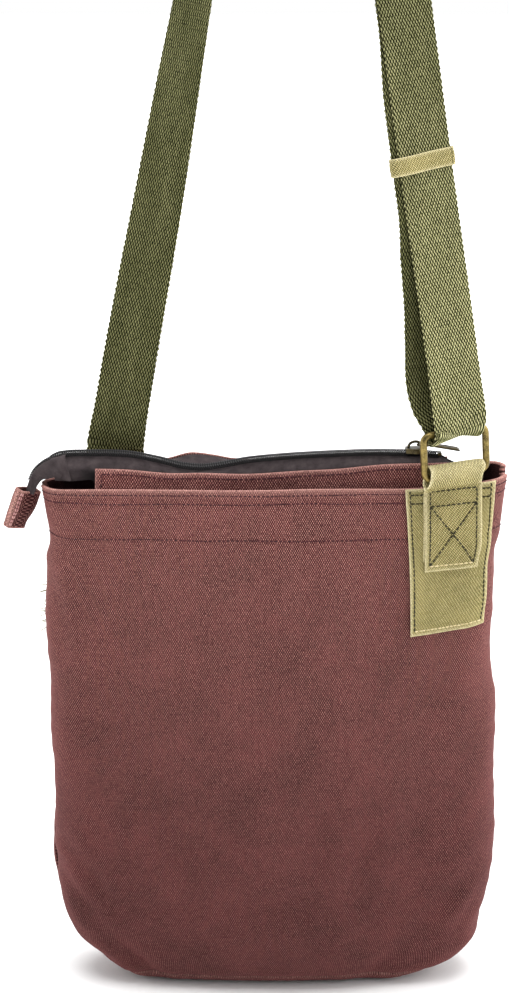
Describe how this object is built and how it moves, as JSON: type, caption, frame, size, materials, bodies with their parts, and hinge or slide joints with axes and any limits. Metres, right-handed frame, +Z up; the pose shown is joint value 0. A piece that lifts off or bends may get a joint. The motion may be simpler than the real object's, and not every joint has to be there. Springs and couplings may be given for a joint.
{
  "type": "crossbody purse",
  "caption": "Slim canvas crossbody purse with rounded base, recessed top zip, olive patches and a webbing strap hung from a brass ring.",
  "frame": {"origin": "underside of the strap's highest point, where it lies over what holds it", "axes": "+Z up along the hanging purse, -Y the front with the ring and patch, +X to the right as seen from the front"},
  "size_m": [0.3297, 0.1, 0.9218],
  "materials": {
    "burgundy_canvas": "washed cotton canvas",
    "olive_canvas": "washed cotton canvas",
    "olive_webbing": "coarse cotton webbing",
    "zip_tape": "woven polyester tape",
    "zip_coil": "satin nylon",
    "lining_cloth": "thin woven cotton",
    "antique_brass": "antique"
  },
  "bodies": {
    "strap": {"strap_left_run": "olive_webbing", "strap_top_bend": "olive_webbing", "strap_right_run": "olive_webbing", "strap_ring_loop": "olive_webbing", "strap_back_layer": "olive_webbing"},
    "bag": {"front_panel": "burgundy_canvas", "rear_panel": "burgundy_canvas", "base_panel": "burgundy_canvas", "front_facing": "burgundy_canvas", "rear_facing": "burgundy_canvas", "lining_front": "lining_cloth", "lining_rear": "lining_cloth", "zip_strip_front": "burgundy_canvas", "zip_strip_rear": "burgundy_canvas", "zip_tape_front": "zip_tape", "zip_tape_rear": "zip_tape", "zip_coil_front": "zip_coil", "zip_coil_rear": "zip_coil", "zip_stops": "antique_brass", "front_patch": "olive_canvas", "rear_patch": "olive_canvas", "ring_tab": "olive_canvas", "strap_sewn_end": "olive_webbing", "fringe_threads": "olive_canvas"},
    "ring": {"strap_ring": "antique_brass"},
    "zip_slider": {"zip_slider_body": "antique_brass"},
    "zip_pull": {"zip_pull_tab": "antique_brass"},
    "zip_tail": {"zip_tail_tape": "zip_tape", "zip_end_tab": "burgundy_canvas"},
    "keeper": {"strap_keeper": "olive_canvas"},
    "adjuster": {"adjuster_frame": "antique_brass", "strap_end_fold": "olive_webbing"}
  },
  "joints": [
    {"name": "bag_swing", "type": "hinge", "parent": "strap", "child": "bag", "pos_m": [0.0993, -0.0245, -0.5565], "axis": [0.9754, -0.2204, 0], "range_deg": [-18, 18], "deforming": ["ring_tab", "strap_sewn_end"]},
    {"name": "ring_pivot", "type": "hinge", "parent": "strap", "child": "ring", "pos_m": [0.0993, -0.0245, -0.5275], "axis": [0.9063, 0.4226, 0], "range_deg": [-4, 4]},
    {"name": "zip_slide", "type": "slide", "parent": "bag", "child": "zip_slider", "axis": [-1, 0, 0], "range_m": [0, 0.208]},
    {"name": "zip_pull_hinge", "type": "hinge", "parent": "zip_slider", "child": "zip_pull", "pos_m": [0.0776, 0, -0.5418], "axis": [0, -1, 0], "range_deg": [0, 165]},
    {"name": "zip_tail_flex", "type": "hinge", "parent": "bag", "child": "zip_tail", "pos_m": [-0.168, 0, -0.5535], "axis": [0, 1, 0], "range_deg": [-5, 85], "stiffness_Nm_per_rad": 0.02},
    {"name": "keeper_slide", "type": "slide", "parent": "strap", "child": "keeper", "axis": [-0.153, 0.0537, 0.9868], "range_m": [-0.02, 0.06]},
    {"name": "adjuster_slide", "type": "slide", "parent": "strap", "child": "adjuster", "axis": [-0.153, 0.0537, 0.9868], "range_m": [-0.04, 0.05], "deforming": ["strap_back_layer"]}
  ]
}
